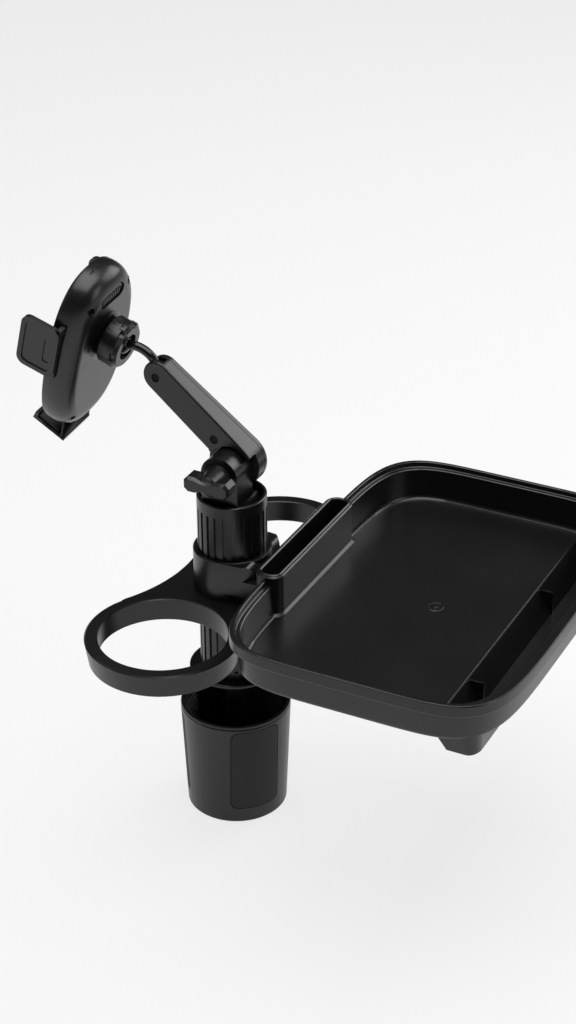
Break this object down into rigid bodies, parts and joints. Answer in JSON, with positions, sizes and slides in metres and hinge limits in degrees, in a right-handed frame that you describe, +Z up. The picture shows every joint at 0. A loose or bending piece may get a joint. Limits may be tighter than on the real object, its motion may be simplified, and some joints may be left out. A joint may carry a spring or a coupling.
{
  "type": "car cup holder",
  "caption": "Cup-holder expander for a car: tapered expanding base, ribbed column, open cup rings, swivelling food tray and a phone holder on a jointed arm.",
  "frame": {"origin": "centre of the base's flat underside, on the column's axis", "axes": "+Z up along the column, +X from the column to the tray's middle, +Y along the tray's long side, away from the first cup ring"},
  "size_m": [0.378, 0.262, 0.364],
  "materials": {
    "black_abs": "satin black moulded ABS",
    "pad_rubber": "matt black soft rubber",
    "painted_steel": "steel with gloss black paint",
    "screw_steel": "blackened and plated steel"
  },
  "bodies": {
    "base": {"base_cup": "black_abs", "base_cap": "black_abs"},
    "pad_a": {"grip_pad_a": "pad_rubber"},
    "pad_b": {"grip_pad_b": "pad_rubber"},
    "pad_c": {"grip_pad_c": "pad_rubber"},
    "column": {"cam_stem": "painted_steel", "stem_screw": "screw_steel", "column_flange": "black_abs", "flange_screws": "screw_steel", "column": "black_abs", "stop_ring": "black_abs"},
    "rings": {"ring_plate": "black_abs"},
    "tray_arm": {"tray_arm": "black_abs"},
    "tray": {"tray": "black_abs", "tray_bolt": "screw_steel"},
    "head": {"head_post": "black_abs", "post_screw": "screw_steel", "pivot_bolt": "screw_steel"},
    "knob": {"wing_knob": "black_abs"},
    "arm": {"arm_body": "black_abs", "arm_cover": "black_abs", "arm_screws": "screw_steel"},
    "rod": {"ball_rod": "painted_steel"},
    "nut": {"ball_nut": "black_abs"},
    "holder": {"ball_socket": "black_abs", "holder_back": "black_abs", "holder_front": "black_abs", "holder_pad": "pad_rubber", "holder_screws": "screw_steel"},
    "button": {"release_button": "black_abs"},
    "clamp_l": {"clamp_left": "black_abs", "clamp_pad_left": "pad_rubber"},
    "clamp_r": {"clamp_right": "black_abs", "clamp_pad_right": "pad_rubber"},
    "foot": {"foot_bracket": "black_abs", "foot_pad": "pad_rubber"}
  },
  "joints": [
    {"name": "column_turn", "type": "hinge", "parent": "base", "child": "column", "pos_m": [0, 0, 0.05], "axis": [0, 0, 1], "range_deg": [0, 90]},
    {"name": "pad_a_slide", "type": "slide", "parent": "base", "child": "pad_a", "axis": [0.766, -0.6428, 0], "range_m": [0, 0.003]},
    {"name": "pad_b_slide", "type": "slide", "parent": "base", "child": "pad_b", "axis": [0.1736, 0.9848, 0], "range_m": [0, 0.003]},
    {"name": "pad_c_slide", "type": "slide", "parent": "base", "child": "pad_c", "axis": [-0.9397, -0.342, 0], "range_m": [0, 0.003]},
    {"name": "ring_swivel", "type": "hinge", "parent": "column", "child": "rings", "pos_m": [0, 0, 0.157], "axis": [0, 0, 1], "range_deg": [-60, 60]},
    {"name": "tray_arm_swivel", "type": "hinge", "parent": "column", "child": "tray_arm", "pos_m": [0, 0, 0.177], "axis": [0, 0, 1], "range_deg": [-150, 150]},
    {"name": "tray_swivel", "type": "hinge", "parent": "tray_arm", "child": "tray", "pos_m": [0.1, 0, 0.182], "axis": [0, 0, 1], "range_deg": [-20, 20]},
    {"name": "head_swivel", "type": "hinge", "parent": "column", "child": "head", "pos_m": [0, 0, 0.212], "axis": [0, 0, 1], "range_deg": [-170, 170]},
    {"name": "knob_turn", "type": "hinge", "parent": "head", "child": "knob", "pos_m": [0, -0.028, 0.2485], "axis": [0, 1, 0], "range_deg": [-180, 180]},
    {"name": "arm_pitch", "type": "hinge", "parent": "head", "child": "arm", "pos_m": [0, 0, 0.2485], "axis": [0, 1, 0], "range_deg": [-25, 45]},
    {"name": "rod_pitch", "type": "hinge", "parent": "arm", "child": "rod", "pos_m": [-0.0531, 0.009, 0.29594], "axis": [0, 1, 0], "range_deg": [-20, 20]},
    {"name": "ball_tilt", "type": "hinge", "parent": "rod", "child": "nut", "pos_m": [-0.0822, 0.009, 0.3114], "axis": [0, 1, 0], "range_deg": [-10, 10]},
    {"name": "ball_roll", "type": "hinge", "parent": "nut", "child": "holder", "pos_m": [-0.0822, 0.009, 0.3114], "axis": [-0.9537, 0, 0.3007], "range_deg": [-90, 90]},
    {"name": "button_press", "type": "slide", "parent": "holder", "child": "button", "axis": [-0.9537, 0, 0.3007], "range_m": [0, 0.0015], "stiffness_N_per_m": 400},
    {"name": "clamp_open_l", "type": "slide", "parent": "holder", "child": "clamp_l", "axis": [0.0419, 0.9903, 0.1327], "range_m": [0, 0.012]},
    {"name": "clamp_open_r", "type": "slide", "parent": "holder", "child": "clamp_r", "axis": [-0.0419, -0.9903, -0.1327], "range_m": [0, 0.012]},
    {"name": "foot_slide", "type": "slide", "parent": "holder", "child": "foot", "axis": [-0.2978, 0.1392, -0.9444], "range_m": [-0.003, 0.012]}
  ],
  "couplings": [
    {"joint": "pad_a_slide", "follows": "column_turn", "m_per_rad": 0.0019099},
    {"joint": "pad_b_slide", "follows": "column_turn", "m_per_rad": 0.0019099},
    {"joint": "pad_c_slide", "follows": "column_turn", "m_per_rad": 0.0019099},
    {"joint": "clamp_open_r", "follows": "clamp_open_l", "ratio": 1}
  ]
}
